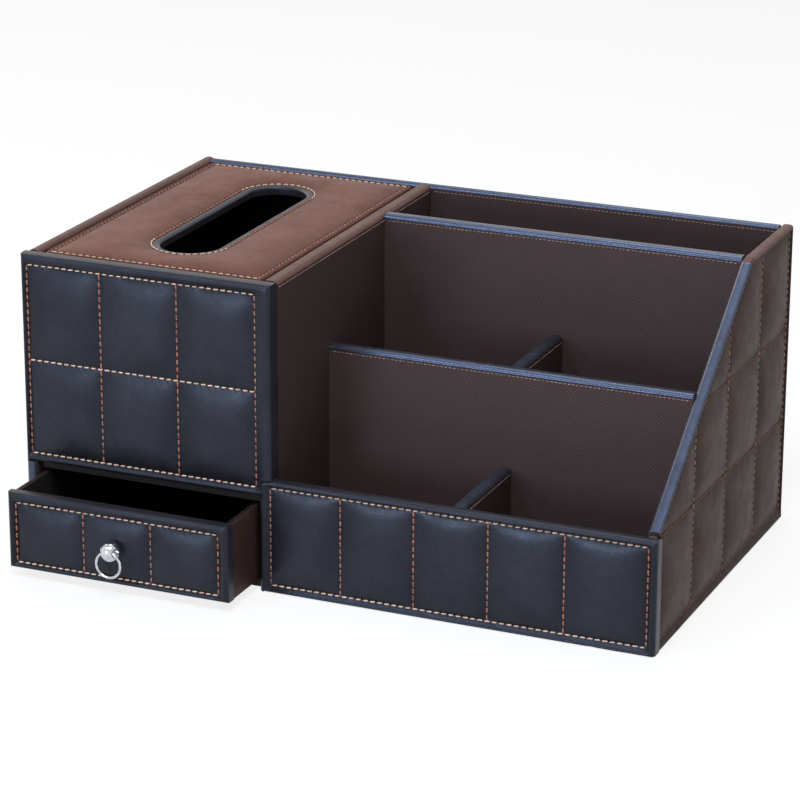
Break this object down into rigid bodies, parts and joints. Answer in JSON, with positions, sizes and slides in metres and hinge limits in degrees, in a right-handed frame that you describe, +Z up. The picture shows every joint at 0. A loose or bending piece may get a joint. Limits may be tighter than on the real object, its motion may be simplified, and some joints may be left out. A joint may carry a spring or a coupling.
{
  "type": "tissue box with drawer",
  "caption": "Leather-covered desk organiser: tissue box with a slotted lift-off lid over a ring-pull drawer, and open compartments beside it behind a sloping end.",
  "frame": {"origin": "middle of the case's foot on the surface that it stands on, half way between its left and right ends and between its front and back faces", "axes": "+X to the right along the case's length, with the tissue box at the left; +Y to the back, so that the drawer opens towards -Y; +Z up"},
  "size_m": [0.36, 0.2665, 0.17],
  "materials": {
    "outer_leather": "smooth padded leather, dark espresso, semi-gloss, quilted with tan thread",
    "lining_leather": "dark brown leatherette with a fine diagonal weave",
    "drawer_leather": "smooth brown leatherette over board",
    "black_lining": "near-black fine suede cloth",
    "board": "plain fibreboard, hidden under the leather",
    "felt": "black felt",
    "chrome": "polished chrome",
    "steel": "plain steel screw"
  },
  "bodies": {
    "case": {"base_felt": "felt", "base_board": "board", "left_wall_board": "board", "shared_wall_board": "board", "right_wall_board": "board", "back_wall_board": "board", "tissue_front_board": "board", "low_front_board": "board", "shelf_board": "board", "left_cover": "outer_leather", "right_cover": "outer_leather", "back_cover": "outer_leather", "tissue_front_cover": "outer_leather", "low_front_cover": "outer_leather", "shared_wall_wrap": "lining_leather", "tissue_lining_left": "lining_leather", "tissue_lining_front": "lining_leather", "tissue_lining_back": "lining_leather", "tissue_floor_lining": "lining_leather", "drawer_bay_lining": "black_lining", "organiser_lining_front": "lining_leather", "organiser_lining_back": "lining_leather", "organiser_lining_right": "lining_leather", "front_left_floor": "lining_leather", "front_right_floor": "lining_leather", "middle_left_floor": "lining_leather", "middle_right_floor": "lining_leather", "rear_floor": "lining_leather", "lid_ledge_left": "board", "lid_ledge_right": "board", "lid_ledge_front": "board", "lid_ledge_back": "board", "front_divider_board": "board", "front_divider_wrap": "lining_leather", "rear_divider_board": "board", "rear_divider_wrap": "lining_leather", "front_cross_board": "board", "front_cross_wrap": "lining_leather", "rear_cross_board": "board", "rear_cross_wrap": "lining_leather"},
    "lid": {"lid_board": "board", "lid_cover": "outer_leather", "lid_backing": "black_lining"},
    "drawer": {"drawer_front_board": "board", "drawer_front_cover": "outer_leather", "drawer_left_side": "drawer_leather", "drawer_right_side": "drawer_leather", "drawer_back": "drawer_leather", "drawer_bottom": "drawer_leather", "drawer_lining": "black_lining", "pull_ball": "chrome", "pull_screw": "steel"},
    "ring": {"pull_ring": "chrome"}
  },
  "joints": [
    {"name": "drawer_slide", "type": "slide", "parent": "case", "child": "drawer", "axis": [0, -1, 0], "range_m": [-0.035, 0.115]},
    {"name": "lid_lift", "type": "slide", "parent": "case", "child": "lid", "axis": [0, 0, 1], "range_m": [0, 0.12]},
    {"name": "ring_swing", "type": "hinge", "parent": "drawer", "child": "ring", "pos_m": [-0.1075, -0.1536, 0.0275], "axis": [-1, 0, 0], "range_deg": [-25, 200]}
  ]
}
